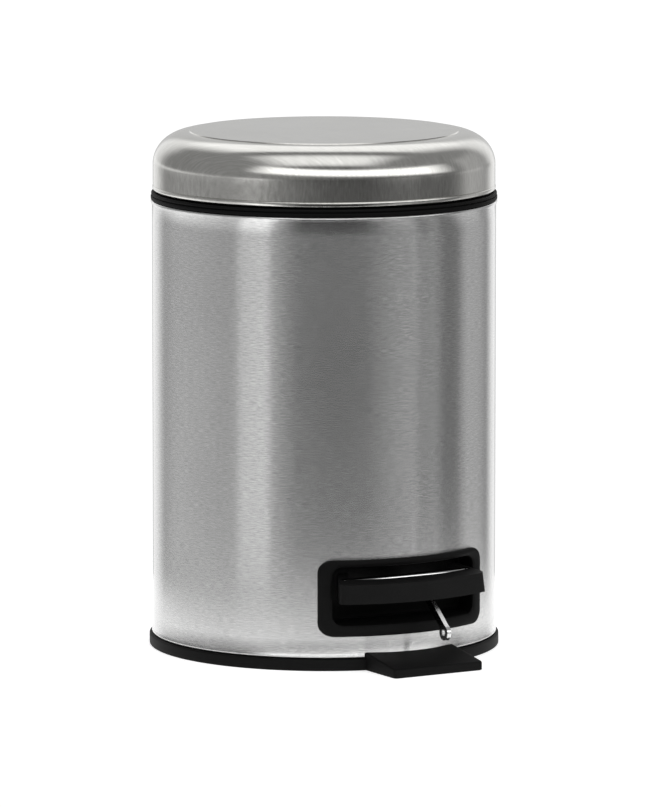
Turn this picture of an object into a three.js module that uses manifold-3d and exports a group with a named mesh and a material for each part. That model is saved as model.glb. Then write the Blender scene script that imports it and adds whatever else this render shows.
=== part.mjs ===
// A three-litre pedal bin: brushed-steel shell and domed lid, black base, collar, bezel and pedal arch.
// Millimetres, +Z up, origin on the floor under the shell's axis. The pedal is at the front, on -Y.

import * as THREE from 'three';
import { mergeVertices } from 'three/addons/utils/BufferGeometryUtils.js';
import Module from 'manifold-3d';

const wasm = await Module();
wasm.setup();

const rad = (degrees) => degrees * Math.PI / 180;
const inSideView = (y, z) => new THREE.Vector3(0, y, z);

// ---------------------------------------------------------------- driving dimensions

const GAP = 0.3;              // clearance between pieces that touch on the real bin
const SIDES = 48;             // facets round the large turned pieces
const SHEET = 0.6;            // steel sheet

const SHELL_RADIUS = 85;
const SHELL_BOTTOM = 6;
const SHELL_TOP = 221.8;
const SHELL_INSIDE = SHELL_RADIUS - SHEET;
const HEM_RADIUS = 0.9;       // rolled edge at both ends of the shell

const BASE_RADIUS = 86.8;
const BASE_RING_TOP = SHELL_BOTTOM - GAP;
const SPIGOT_RADIUS = 83.5;   // base and collar plug into the shell with this radius
const FLOOR_TOP = 3.4;
const SPIGOT_TOP = 15.5;
const SPIGOT_INSIDE = 81.2;
const TONGUE_HALF_WIDTH = 25;
const TONGUE_FRONT = -110.8;
const TONGUE_EDGE = 4.4;      // thickness at its front edge
const TONGUE_TOP = 8.3;       // height where it meets the shell
const EAR_MIDDLE = 12.5;      // the two axle ears stand this far to each side
const EAR_SHEET = 3;
const EAR_RADIUS = 4.2;

const COLLAR_BOTTOM = 212;
const COLLAR_TOP = 225.7;
const COLLAR_INSIDE = 81.6;
const LEDGE_INSIDE = 78.6;
const LEDGE_TOP = 221.5;

const LID_RADIUS = 84.6;
const LID_BOTTOM = 226;
const LID_SKIRT_TOP = 240.8;
const LID_TOP = 256.1;
const LID_DISC_RADIUS = 66.5;
const LID_TUCK = 1.4;         // how far the bottom edge turns in
const LID_OPENING = 80;       // degrees

const WINDOW_HALF_WIDTH = 39.5; // clear opening in the bezel
const WINDOW_BOTTOM = 22.6;
const WINDOW_TOP = 50.8;
const BEZEL_HALF_WIDTH = 45.8;
const BEZEL_BOTTOM = 16.8;
const BEZEL_CORNER = 6.5;
const WINDOW_CORNER = 4.5;
const BEZEL_TOP = 54.5;
const BEZEL_RADIUS = 87.2;
const BEZEL_WALL = 1.5;
const RECESS_BACK = -64;      // front face of the recess's back wall, on Y

const BUCKET_TOP_RADIUS = 75.4;
const BUCKET_FOOT_RADIUS = 69;
const BUCKET_BOTTOM = 54;
const BUCKET_WALL = 1.4;
const RIM_RADIUS = 81.2;
const RIM_BOTTOM = LEDGE_TOP + GAP;
const RIM_TOP = RIM_BOTTOM + 2;
const BAIL_HEIGHT = 214;
const BAIL_RADIUS = 70.5;
const BAIL_WIRE = 1.5;

const PIVOT = { y: -22, z: 16 };          // pedal axle
const AXLE_RADIUS = 2;
const LEVER_HALF_WIDTH = 8.1;
const LEVER_SHEET = 1.6;
const LEVER_REAR = inSideView(77, 12);
const LEVER_BEND = inSideView(-30, 21.6);
const LEVER_FRONT = inSideView(-74.2, 41.7);
const PEDAL_TRAVEL = 6.6;                 // degrees

const CROSSBAR = { y: -79, z: 43.6, radius: 1.7, halfLength: 36 };
const ARCH_RADIUS = 96.1;
const ARCH_INSIDE = 87.4;
const ARCH_ANGLE = 25.8;                  // degrees from the front to each end
const ARCH_CORNER = 3.5;
const ARCH_END_RADIUS = 79;               // how far in its two ends reach
const ARCH_WALL = 2.8;
const ARCH_END_WALL = 5.4;

const LEG = { left: 3.6, right: 8.4, depth: 4 };   // stop leg, folded from sheet, right of the middle
const LEG_SHEET = 1.6;                     // its foot
const LEG_BAR = 2.2;                       // its bar
const LEG_EYE = { y: -104.3, z: 19.1, radius: 3.8, hole: 1.5 };
const RIVET = { x: 6, y: -69.5, radius: 1.2, hole: 1.5 };

const ROD = { x: 3.6, y: 81, bottom: 10, radius: 1.25 };
const ROD_TRAVEL = 11.868;
const CRANK_ANGLE = LID_OPENING / 2;      // degrees below level when the lid is shut
const CRANK_RADIUS = ROD_TRAVEL / (2 * Math.sin(rad(CRANK_ANGLE)));
const HINGE = { y: ROD.y + CRANK_RADIUS * (1 + Math.cos(rad(CRANK_ANGLE))) / 2, z: 223.5 };
const HINGE_PIN_RADIUS = 2;
const KNUCKLE_RADIUS = 4.3;
const KNUCKLE_HALF_WIDTH = 6;
const CRANK_HOLE = 2.6;       // oversize, because the rod moves straight and the crank swings
const SCREW_SIDES = [-1, 1];
const SCREW_X = 13.5;
const SCREW_Z = 202;

const LINER_BOTTOM = 229;
const LINER_INSIDE = 74;
const ARM_SCREWS = [-10, 10];
const ARM_SCREW_Y = 77.6;
const BUMPER_ANGLES = [-35, 35];
const BUMPER_RADIUS = 78.3;

// ---------------------------------------------------------------- materials

const steel = (color, roughness) => new THREE.MeshStandardMaterial({ color, roughness, metalness: 1 });
const plastic = (color, roughness) => new THREE.MeshStandardMaterial({ color, roughness, metalness: 0 });

const shellSteel = steel(0xb9b9b8, 0.38);
const lidSteel = steel(0xb4b3ae, 0.32);
const leverSteel = steel(0xc4c4c4, 0.28);
const zinc = steel(0xa9adb0, 0.4);
const blackPlastic = plastic(0x1b1b1c, 0.5);
const pedalPlastic = plastic(0x242425, 0.55);
const bucketPlastic = plastic(0x202022, 0.6);
const rubber = plastic(0x111111, 0.85);

// ---------------------------------------------------------------- helpers

function polar(radius, degrees) {
  return [radius * Math.sin(rad(degrees)), -radius * Math.cos(rad(degrees))];
}

// A closed three.js geometry as a manifold solid, without the zero-area faces that lie on an axis.
function solidOf(geometry) {
  const bare = geometry.clone();
  bare.deleteAttribute('normal');
  bare.deleteAttribute('uv');
  const merged = mergeVertices(bare, 1e-4);
  const faces = [];
  for (let i = 0; i < merged.index.count; i += 3) {
    const [a, b, c] = [0, 1, 2].map((k) => merged.index.getX(i + k));
    if (a !== b && b !== c && c !== a) faces.push(a, b, c);
  }
  const vertProperties = new Float32Array(merged.attributes.position.array);
  return new wasm.Manifold(new wasm.Mesh({ numProp: 3, vertProperties, triVerts: new Uint32Array(faces) }));
}

function geometryOf(solid) {
  const { vertProperties, triVerts } = solid.getMesh();
  const geometry = new THREE.BufferGeometry();
  geometry.setAttribute('position', new THREE.BufferAttribute(vertProperties, 3));
  geometry.setIndex(new THREE.BufferAttribute(triVerts, 1));
  return geometry.toNonIndexed();
}

function piece(name, solid, material) {
  const geometry = geometryOf(solid);
  geometry.computeVertexNormals();
  const mesh = new THREE.Mesh(geometry, material);
  mesh.name = name;
  return mesh;
}

// Joins a list of solids, then takes another list away.
function build(add, remove = []) {
  const whole = add.reduce((sum, next) => sum.add(next));
  return remove.reduce((rest, next) => rest.subtract(next), whole);
}

// Turns a closed [radius, height] outline about Z.
function revolve(outline, sides = SIDES) {
  const points = outline.map(([radius, height]) => new THREE.Vector2(radius, height));
  if (THREE.ShapeUtils.area(points) < 0) points.reverse();
  points.push(points[0].clone());
  return solidOf(new THREE.LatheGeometry(points, sides).rotateX(Math.PI / 2));
}

function polygon(points) {
  return new THREE.Shape(points.map(([u, v]) => new THREE.Vector2(u, v)));
}

function roundedRectangle(left, right, bottom, top, radius) {
  const shape = new THREE.Shape();
  shape.moveTo(right, bottom + radius);
  shape.absarc(right - radius, top - radius, radius, 0, Math.PI / 2);
  shape.absarc(left + radius, top - radius, radius, Math.PI / 2, Math.PI);
  shape.absarc(left + radius, bottom + radius, radius, Math.PI, 3 * Math.PI / 2);
  shape.absarc(right - radius, bottom + radius, radius, 3 * Math.PI / 2, 2 * Math.PI);
  return shape;
}

function extrude(shape, depth, basis, origin, curveSegments = 6) {
  const geometry = new THREE.ExtrudeGeometry(shape, { depth, bevelEnabled: false, curveSegments });
  geometry.applyMatrix4(basis);
  return solidOf(geometry.translate(...origin));
}

const axisX = new THREE.Vector3(1, 0, 0);
const axisY = new THREE.Vector3(0, 1, 0);
const axisZ = new THREE.Vector3(0, 0, 1);
const SIDE_VIEW = new THREE.Matrix4().makeBasis(axisY, axisZ, axisX);
const FRONT_VIEW = new THREE.Matrix4().makeBasis(axisX, axisZ, axisY.clone().negate());
const PLAN_VIEW = new THREE.Matrix4();

// A (y, z) outline between two x values, an (x, z) one between two y values, an (x, y) one between two z's.
const acrossX = (shape, from, to) => extrude(shape, to - from, SIDE_VIEW, [from, 0, 0]);
const acrossY = (shape, from, to) => extrude(shape, to - from, FRONT_VIEW, [0, to, 0]);
const acrossZ = (shape, from, to, segments) => extrude(shape, to - from, PLAN_VIEW, [0, 0, from], segments);

function box(x0, x1, y0, y1, z0, z1) {
  const geometry = new THREE.BoxGeometry(x1 - x0, y1 - y0, z1 - z0);
  return solidOf(geometry.translate((x0 + x1) / 2, (y0 + y1) / 2, (z0 + z1) / 2));
}

function drum(radius, z0, z1, sides = SIDES) {
  const geometry = new THREE.CylinderGeometry(radius, radius, z1 - z0, sides).rotateX(Math.PI / 2);
  return solidOf(geometry.translate(0, 0, (z0 + z1) / 2));
}

// A round bar along X, and one along Y.
function barX(radius, x0, x1, y, z, sides = 20) {
  const geometry = new THREE.CylinderGeometry(radius, radius, x1 - x0, sides).rotateZ(Math.PI / 2);
  return solidOf(geometry.translate((x0 + x1) / 2, y, z));
}

function barY(radius, y0, y1, x, z, sides = 16) {
  const geometry = new THREE.CylinderGeometry(radius, radius, y1 - y0, sides);
  return solidOf(geometry.translate(x, (y0 + y1) / 2, z));
}

// A path that is sampled at its own stations and nowhere between them.
class StationPath extends THREE.Curve {
  constructor(stations) {
    super();
    this.stations = stations;
  }

  getUtoTmapping(u) {
    return u;
  }

  getPoint(t) {
    const last = this.stations.length - 1;
    const index = Math.min(Math.floor(t * last), last - 1);
    return this.stations[index].clone().lerp(this.stations[index + 1], t * last - index);
  }
}

// The corners of a path replaced by bends of one radius.
function bends(corners, radius, steps = 6) {
  const stations = [corners[0]];
  for (let i = 1; i < corners.length - 1; i++) {
    const back = corners[i - 1].clone().sub(corners[i]).normalize();
    const ahead = corners[i + 1].clone().sub(corners[i]).normalize();
    const half = back.angleTo(ahead) / 2;
    const inward = back.clone().add(ahead).normalize();
    const centre = corners[i].clone().addScaledVector(inward, radius / Math.sin(half));
    const start = corners[i].clone().addScaledVector(back, radius / Math.tan(half)).sub(centre);
    const turn = back.clone().negate().cross(ahead).normalize();
    for (let k = 0; k <= steps; k++) {
      const angle = (Math.PI - 2 * half) * k / steps;
      stations.push(start.clone().applyAxisAngle(turn, angle).add(centre));
    }
  }
  stations.push(corners[corners.length - 1]);
  return stations;
}

function wire(stations, radius, sides = 10) {
  const section = new THREE.Shape();
  section.absarc(0, 0, radius, 0, 2 * Math.PI);
  const options = {
    steps: stations.length - 1,
    extrudePath: new StationPath(stations),
    curveSegments: sides,
    bevelEnabled: false,
  };
  return solidOf(new THREE.ExtrudeGeometry(section, options));
}

// The outline of bent sheet metal in side view: its centre line, made half a thickness wider each way.
function sheetOutline(stations, thickness) {
  const left = [];
  const right = [];
  for (let i = 0; i < stations.length; i++) {
    const before = stations[Math.max(i - 1, 0)];
    const after = stations[Math.min(i + 1, stations.length - 1)];
    const along = after.clone().sub(before).normalize();
    const normal = new THREE.Vector3(0, -along.z, along.y).multiplyScalar(thickness / 2);
    left.push(stations[i].clone().add(normal));
    right.unshift(stations[i].clone().sub(normal));
  }
  return polygon([...left, ...right].map((point) => [point.y, point.z]));
}

// ---------------------------------------------------------------- shell, base and collar

function outerShell() {
  const middle = SHELL_RADIUS - SHEET / 2;
  const hem = (z, from, to) => [0, 1, 2, 3, 4].map((k) => {
    const angle = rad(from + (to - from) * k / 4);
    return [middle + HEM_RADIUS * Math.cos(angle), z + HEM_RADIUS * Math.sin(angle)];
  });
  const tube = revolve([
    [SHELL_RADIUS, SHELL_BOTTOM + 2.2 * HEM_RADIUS],
    [SHELL_RADIUS, SHELL_TOP - 2.2 * HEM_RADIUS],
    ...hem(SHELL_TOP - HEM_RADIUS, -20, 200),
    [SHELL_INSIDE, SHELL_TOP - 2.2 * HEM_RADIUS],
    [SHELL_INSIDE, SHELL_BOTTOM + 2.2 * HEM_RADIUS],
    ...hem(SHELL_BOTTOM + HEM_RADIUS, 160, 380),
  ]);
  const room = BEZEL_WALL + 2 * GAP;
  const window = roundedRectangle(
    -WINDOW_HALF_WIDTH - room, WINDOW_HALF_WIDTH + room, WINDOW_BOTTOM - room, WINDOW_TOP + room, 6);
  const armNotch = box(-8.5, 8.5, 70, 100, 209, 230);
  return piece('outer_shell', build([tube], [
    acrossY(window, -100, -50),
    armNotch,
    ...SCREW_SIDES.map((side) => barY(1.8, 75, 95, side * SCREW_X, SCREW_Z)),
  ]), shellSteel);
}

function baseTray() {
  const body = revolve([
    [0, 0], [26, 0], [27, 1.2], [72, 1.2], [73, 0], [BASE_RADIUS - 0.6, 0],
    [BASE_RADIUS, 0.6], [BASE_RADIUS, BASE_RING_TOP - 0.8], [BASE_RADIUS - 0.6, BASE_RING_TOP],
    [SPIGOT_RADIUS, BASE_RING_TOP], [SPIGOT_RADIUS, SPIGOT_TOP], [SPIGOT_INSIDE, SPIGOT_TOP],
    [SPIGOT_INSIDE, FLOOR_TOP], [0, FLOOR_TOP],
  ]);
  const slope = (TONGUE_TOP - TONGUE_EDGE) / (-SHELL_RADIUS - 1 - TONGUE_FRONT);
  const back = -75;
  const side = polygon([
    [TONGUE_FRONT, 0], [back, 0], [back, TONGUE_EDGE + slope * (back - TONGUE_FRONT)],
    [TONGUE_FRONT, TONGUE_EDGE],
  ]);
  const plan = roundedRectangle(-TONGUE_HALF_WIDTH, TONGUE_HALF_WIDTH, TONGUE_FRONT, -70, 1.5);
  const tongue = acrossX(side, -30, 30)
    .intersect(acrossZ(plan, -1, 20))
    .subtract(drum(SHELL_RADIUS + 1, BASE_RING_TOP, 30))
    .subtract(drum(SHELL_RADIUS - 1.5, -1, 30));
  const ears = [-1, 1].map((hand) => {
    const ear = new THREE.Shape();
    ear.moveTo(PIVOT.y - 6, FLOOR_TOP - 1);
    ear.lineTo(PIVOT.y + 6, FLOOR_TOP - 1);
    ear.lineTo(PIVOT.y + EAR_RADIUS, PIVOT.z);
    ear.absarc(PIVOT.y, PIVOT.z, EAR_RADIUS, 0, Math.PI);
    return acrossX(ear, hand * EAR_MIDDLE - EAR_SHEET / 2, hand * EAR_MIDDLE + EAR_SHEET / 2);
  });
  const rodNotch = box(-6, 9, 76, SPIGOT_RADIUS + 0.1, BASE_RING_TOP, 20);
  return piece('base_tray', build([body, tongue, ...ears], [
    barX(AXLE_RADIUS + GAP, -20, 20, PIVOT.y, PIVOT.z),
    rodNotch,
  ]), blackPlastic);
}

function collarRing() {
  const ring = revolve([
    [SPIGOT_RADIUS, COLLAR_BOTTOM], [SPIGOT_RADIUS, SHELL_TOP + GAP], [85.6, SHELL_TOP + GAP], [85.6, 223.6],
    [84.9, 223.9], [84.9, 224.2], [85.4, 224.5], [85.4, 225.2], [84.9, COLLAR_TOP],
    [COLLAR_INSIDE, COLLAR_TOP],
    [COLLAR_INSIDE, LEDGE_TOP], [LEDGE_INSIDE, LEDGE_TOP], [LEDGE_INSIDE, LEDGE_TOP - 2],
    [COLLAR_INSIDE, LEDGE_TOP - 3.5], [COLLAR_INSIDE + 0.4, COLLAR_BOTTOM],
  ]);
  const armNotch = box(-8, 8, 70, 90, 205, 230);
  const bracketNotch = box(-15.2, 15.2, 83.4, 90, 205, 230);
  return piece('collar_ring', build([ring], [armNotch, bracketNotch]), blackPlastic);
}

// ---------------------------------------------------------------- bezel round the pedal window

function pedalBezel() {
  const outside = (x, bottom, top, radius) => roundedRectangle(-x, x, bottom, top, radius);
  const flange = acrossY(outside(BEZEL_HALF_WIDTH, BEZEL_BOTTOM, BEZEL_TOP, BEZEL_CORNER), -100, -40)
    .intersect(drum(BEZEL_RADIUS, 0, 80))
    .subtract(drum(SHELL_RADIUS + GAP, 0, 80));
  const wall = BEZEL_WALL;
  const neck = acrossY(
    outside(WINDOW_HALF_WIDTH + wall, WINDOW_BOTTOM - wall, WINDOW_TOP + wall, WINDOW_CORNER + wall),
    -100, RECESS_BACK + wall)
    .intersect(drum(SHELL_RADIUS + 1, 0, 80));
  const hollow = acrossY(
    outside(WINDOW_HALF_WIDTH, WINDOW_BOTTOM, WINDOW_TOP, WINDOW_CORNER), -100, RECESS_BACK);
  const leverSlot = box(-9.5, 9.5, RECESS_BACK - 1, RECESS_BACK + 5, 29.5, 41);
  return piece('pedal_bezel', build([flange, neck], [hollow, leverSlot]), blackPlastic);
}

// ---------------------------------------------------------------- inner bucket and its bail

const bailStub = (side) => barX(BAIL_WIRE + 0.4, side * 73.5 - 5, side * 73.5 + 5, 0, BAIL_HEIGHT, 16);

function innerBucket() {
  const wall = BUCKET_WALL;
  const body = revolve([
    [0, BUCKET_BOTTOM], [BUCKET_FOOT_RADIUS - 2.5, BUCKET_BOTTOM], [BUCKET_FOOT_RADIUS, BUCKET_BOTTOM + 2.5],
    [BUCKET_TOP_RADIUS, RIM_BOTTOM], [RIM_RADIUS, RIM_BOTTOM], [RIM_RADIUS, RIM_TOP],
    [BUCKET_TOP_RADIUS - wall, RIM_TOP], [BUCKET_FOOT_RADIUS - wall, BUCKET_BOTTOM + 3],
    [BUCKET_FOOT_RADIUS - wall - 2, BUCKET_BOTTOM + 1.6], [0, BUCKET_BOTTOM + 1.6],
  ]);
  const rimNotch = box(-10, 10, BUCKET_TOP_RADIUS + 0.1, 90, 220, 230);
  return piece('inner_bucket', build([body], [rimNotch, bailStub(-1), bailStub(1)]), bucketPlastic);
}

function bucketHandle() {
  const stations = [];
  for (let k = 0; k <= 28; k++) {
    const [x, y] = polar(BAIL_RADIUS, -90 + 180 * k / 28);
    stations.push(new THREE.Vector3(x, y, BAIL_HEIGHT));
  }
  const wireEnds = [-1, 1].map((side) => {
    const inner = side * (BAIL_RADIUS - BAIL_WIRE);
    const outer = side * (BUCKET_TOP_RADIUS + 1.4);
    return barX(BAIL_WIRE, Math.min(inner, outer), Math.max(inner, outer), 0, BAIL_HEIGHT, 12);
  });
  const heads = [-1, 1].map((side) => {
    const near = side * (BUCKET_TOP_RADIUS + 0.4);
    const far = side * (BUCKET_TOP_RADIUS + 1.6);
    return barX(2.6, Math.min(near, far), Math.max(near, far), 0, BAIL_HEIGHT, 12);
  });
  return piece('bucket_handle', build([wire(stations, BAIL_WIRE, 5), ...wireEnds, ...heads]), zinc);
}

// ---------------------------------------------------------------- pedal: lever, crossbar, arch and stop leg

// The lever's middle line in side view is straight from the bend near its pivot to the saddle.
function leverSaddle() {
  const stations = [];
  for (let k = 0; k <= 8; k++) {
    const angle = rad(-25 - 150 * k / 8);
    const reach = CROSSBAR.radius + GAP + LEVER_SHEET / 2;
    stations.push(inSideView(CROSSBAR.y + reach * Math.cos(angle), CROSSBAR.z + reach * Math.sin(angle)));
  }
  return stations;
}

function pedalLever() {
  const strip = acrossX(
    sheetOutline([...bends([LEVER_REAR, LEVER_BEND, LEVER_FRONT], 20, 4), ...leverSaddle()], LEVER_SHEET),
    -LEVER_HALF_WIDTH, LEVER_HALF_WIDTH);
  const ears = [-1, 1].map((hand) => {
    const ear = new THREE.Shape();
    ear.moveTo(PIVOT.y - 9, PIVOT.z + 5.9);
    ear.lineTo(PIVOT.y - EAR_RADIUS, PIVOT.z);
    ear.absarc(PIVOT.y, PIVOT.z, EAR_RADIUS, Math.PI, 2 * Math.PI);
    ear.lineTo(PIVOT.y + 9, PIVOT.z + EAR_RADIUS);
    const middle = hand * (LEVER_HALF_WIDTH - LEVER_SHEET / 2);
    return acrossX(ear, middle - LEVER_SHEET / 2, middle + LEVER_SHEET / 2);
  });
  const tab = acrossX(roundedRectangle(66, ROD.y + 2.75, ROD.bottom - 2.75, 13.6, 2.7), -1, 1);
  return piece('pedal_lever', build([strip, ...ears, tab], [
    barX(AXLE_RADIUS + GAP, -20, 20, PIVOT.y, PIVOT.z),
    barX(ROD.radius + 0.42, -5, 5, ROD.y, ROD.bottom),
    rivetHole(),
  ]), leverSteel);
}

function pedalCrossbar() {
  const { radius, halfLength, y, z } = CROSSBAR;
  const bar = new THREE.CapsuleGeometry(radius, 2 * (halfLength - radius), 4, 16).rotateZ(Math.PI / 2);
  return piece('pedal_crossbar', solidOf(bar.translate(0, y, z)), leverSteel);
}

// The plan of the arch: a broad band round the front that turns in at both ends towards the shell's axis.
function archPlan(inset, endRadius) {
  const end = rad(ARCH_ANGLE);
  const corner = Math.max(ARCH_CORNER - inset, 1);
  const centreRadius = ARCH_RADIUS - inset - corner;
  const centreAngle = end - Math.asin((inset + corner) / centreRadius);
  const cx = centreRadius * Math.sin(centreAngle);
  const cy = -centreRadius * Math.cos(centreAngle);
  const startX = endRadius * Math.sin(end) - inset * Math.cos(end);
  const startY = -endRadius * Math.cos(end) - inset * Math.sin(end);
  const quarter = Math.PI / 2;
  const shape = new THREE.Shape();
  shape.moveTo(startX, startY);
  shape.lineTo(cx + corner * Math.cos(end), cy + corner * Math.sin(end));
  shape.absarc(cx, cy, corner, end, centreAngle - quarter, true);
  shape.absarc(0, 0, ARCH_RADIUS - inset, centreAngle - quarter, -centreAngle - quarter, true);
  shape.absarc(-cx, cy, corner, -centreAngle - quarter, Math.PI - end, true);
  shape.lineTo(-startX, startY);
  return shape;
}

// Its top rises towards the shell like a shallow cone, and its underside is level.
function pedalArch() {
  const bottom = 34.3;
  const top = (radius) => 43.6 + 0.18 * (95.5 - radius);
  const [near, far] = [60, 110];
  const slab = (lift, drop) => revolve([
    [near, bottom - drop], [far, bottom - drop], [far, top(far) + lift], [near, top(near) + lift],
  ], 2 * SIDES);
  const band = acrossZ(archPlan(0, ARCH_END_RADIUS), 20, 60, 16).intersect(slab(0, 0));
  const middle = acrossZ(archPlan(ARCH_END_WALL, 60), 10, 70, 12).intersect(drum(ARCH_INSIDE, 10, 70, 72));
  const underside = acrossZ(archPlan(ARCH_WALL, 60), 10, 60, 12)
    .intersect(slab(-ARCH_WALL, 9))
    .subtract(box(-60, 60, CROSSBAR.y - 2.5, -40, 10, 70));
  const sockets = [-1, 1].map((hand) => {
    const inward = hand * 28;
    const blind = hand * (CROSSBAR.halfLength + GAP);
    const radius = CROSSBAR.radius + GAP;
    return barX(radius, Math.min(inward, blind), Math.max(inward, blind), CROSSBAR.y, CROSSBAR.z);
  });
  return piece('pedal_arch', build([band], [middle, underside, ...sockets]), pedalPlastic);
}

// A foot riveted under the lever, and a flat bar folded down from its right edge that ends in a round eye.
function stopLeg() {
  const footCorners = [inSideView(-66.5, 35.45), inSideView(-73.2, 38.7), inSideView(-80, 38.7)];
  const barCorners = [inSideView(-74.6, 37.35), inSideView(-84.4, 37.35), inSideView(-105.3, 20.35)];
  const footLine = bends(footCorners, 2.5, 4);
  const barLine = bends(barCorners, 4, 4);
  const barLeft = LEG.right - LEG_BAR;
  return piece('stop_leg', build([
    acrossX(sheetOutline(footLine, LEG_SHEET), LEG.left, LEG.right - LEG_BAR / 2),
    acrossX(sheetOutline(barLine, LEG.depth), barLeft, LEG.right),
    barX(LEG_EYE.radius, barLeft, LEG.right, LEG_EYE.y, LEG_EYE.z, 24),
  ], [
    barX(LEG_EYE.hole, 0, 20, LEG_EYE.y, LEG_EYE.z),
    rivetHole(),
  ]), leverSteel);
}

// The rivet's own frame: origin on the lever's middle line, z square to the lever's front strip.
function seatRivet(solid) {
  const drop = (RIVET.y - LEVER_FRONT.y) / (LEVER_BEND.y - LEVER_FRONT.y);
  const seat = LEVER_FRONT.clone().lerp(LEVER_BEND, drop);
  const tilt = Math.atan2(LEVER_BEND.z - LEVER_FRONT.z, LEVER_BEND.y - LEVER_FRONT.y);
  return solid.rotate([tilt * 180 / Math.PI, 0, 0]).translate([RIVET.x, seat.y, seat.z]);
}

function rivetHole() {
  return seatRivet(drum(RIVET.hole, -6, 3, 12));
}

function legRivet() {
  const top = LEVER_SHEET / 2 + 0.2;
  const bottom = -LEVER_SHEET / 2 - 0.9 - LEG_SHEET - 0.5;
  const pin = revolve([
    [0, bottom - 0.8], [2, bottom - 0.8], [2.2, bottom], [RIVET.radius, bottom], [RIVET.radius, top],
    [2.4, top],
    [2.2, top + 0.7], [1.4, top + 1.2], [0, top + 1.3],
  ], 16);
  return piece('leg_rivet', seatRivet(pin), zinc);
}

// ---------------------------------------------------------------- pedal axle

function pedalAxle() {
  return piece('pedal_axle', barX(AXLE_RADIUS, -16.5, 16.5, PIVOT.y, PIVOT.z), zinc);
}

function axleClip(name, hand) {
  const near = hand * 14.3;
  const far = hand * 15.1;
  const disc = barX(4, Math.min(near, far), Math.max(near, far), PIVOT.y, PIVOT.z);
  const hole = barX(AXLE_RADIUS + GAP, -20, 20, PIVOT.y, PIVOT.z);
  const mouth = box(-20, 20, PIVOT.y - 1.5, PIVOT.y + 1.5, PIVOT.z, PIVOT.z + 6);
  return piece(name, build([disc], [hole, mouth]), zinc);
}

// ---------------------------------------------------------------- push rod and its guide

function pushRod() {
  const top = HINGE.z - CRANK_RADIUS * Math.sin(rad(CRANK_ANGLE));
  const corners = [
    new THREE.Vector3(-4, ROD.y, ROD.bottom),
    new THREE.Vector3(ROD.x, ROD.y, ROD.bottom),
    new THREE.Vector3(ROD.x, ROD.y, top),
    new THREE.Vector3(-4, ROD.y, top),
  ];
  return piece('push_rod', wire(bends(corners, 1.8), ROD.radius, 6), zinc);
}

function rodGuide() {
  const saddle = box(ROD.x - 7, ROD.x + 7, 78.6, 90, 114, 124).intersect(drum(SHELL_INSIDE - GAP, 110, 130));
  const bore = drum(ROD.radius + 0.4, 100, 140, 16).translate([ROD.x, ROD.y, 0]);
  return piece('rod_guide', build([saddle], [bore]), blackPlastic);
}

// ---------------------------------------------------------------- hinge bracket behind the shell

function hingeBracket() {
  const block = acrossY(roundedRectangle(-20, 20, 192, 221.5, 5), 70, 91);
  const ears = [-1, 1].map((hand) => {
    const ear = new THREE.Shape();
    ear.moveTo(80, 200);
    ear.lineTo(HINGE.y, 200);
    ear.lineTo(HINGE.y + 4.6, 212);
    ear.absarc(HINGE.y, HINGE.z, 4.6, 0, Math.PI);
    ear.lineTo(80, HINGE.z - 6);
    return acrossX(ear, hand * 10.6 - 4, hand * 10.6 + 4);
  });
  const screwSeats = SCREW_SIDES.flatMap((side) => [
    barY(1.8, 70, 100, side * SCREW_X, SCREW_Z),
    barY(3.2, 89, 100, side * SCREW_X, SCREW_Z),
  ]);
  return piece('hinge_bracket', build([block, ...ears], [
    drum(SHELL_RADIUS + GAP, 180, 222.5),
    drum(SHELL_RADIUS + 1, SHELL_TOP - 3, 240),
    box(-6.6, 6.6, 70, 100, HINGE.z - 6.2, 240),
    barX(HINGE_PIN_RADIUS + GAP, -30, 30, HINGE.y, HINGE.z),
    ...screwSeats,
  ]), blackPlastic);
}

function hingePin() {
  return piece('hinge_pin', barX(HINGE_PIN_RADIUS, -14.6, 14.6, HINGE.y, HINGE.z), zinc);
}

function bracketScrew(name, side) {
  const shank = barY(1.5, 80.2, 90, side * SCREW_X, SCREW_Z);
  const head = barY(2.8, 89.3, 91.4, side * SCREW_X, SCREW_Z, 20);
  const slot = box(side * SCREW_X - 4, side * SCREW_X + 4, 90.6, 92, SCREW_Z - 0.4, SCREW_Z + 0.4);
  return piece(name, build([shank, head], [slot]), zinc);
}

function bracketNut(name, side) {
  const nut = barY(3.2, 80, 82.2, side * SCREW_X, SCREW_Z, 6);
  return piece(name, build([nut], [barY(1.5 + GAP, 70, 95, side * SCREW_X, SCREW_Z)]), zinc);
}

// ---------------------------------------------------------------- lid

// Half the dome's outline from the flat disc's edge to the bottom edge, moved in by a thickness.
function domeOutline(inset) {
  const width = LID_RADIUS - LID_DISC_RADIUS;
  const height = LID_TOP - LID_SKIRT_TOP;
  const points = [];
  for (let k = 0; k <= 7; k++) {
    const angle = rad(90 * (1 - k / 7));
    points.push([
      LID_DISC_RADIUS + (width - inset) * Math.cos(angle),
      LID_SKIRT_TOP + (height - inset) * Math.sin(angle),
    ]);
  }
  points.push([LID_RADIUS - inset, LID_BOTTOM + 3.2], [LID_RADIUS - inset - 0.5, LID_BOTTOM + 1.4]);
  points.push([LID_RADIUS - inset - LID_TUCK, LID_BOTTOM]);
  return points;
}

function lidShell() {
  const outside = [[0, LID_TOP], ...domeOutline(0)];
  const inside = [[0, LID_TOP - SHEET], ...domeOutline(SHEET)].reverse();
  return piece('lid_shell', revolve([...outside, ...inside]), lidSteel);
}

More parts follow.
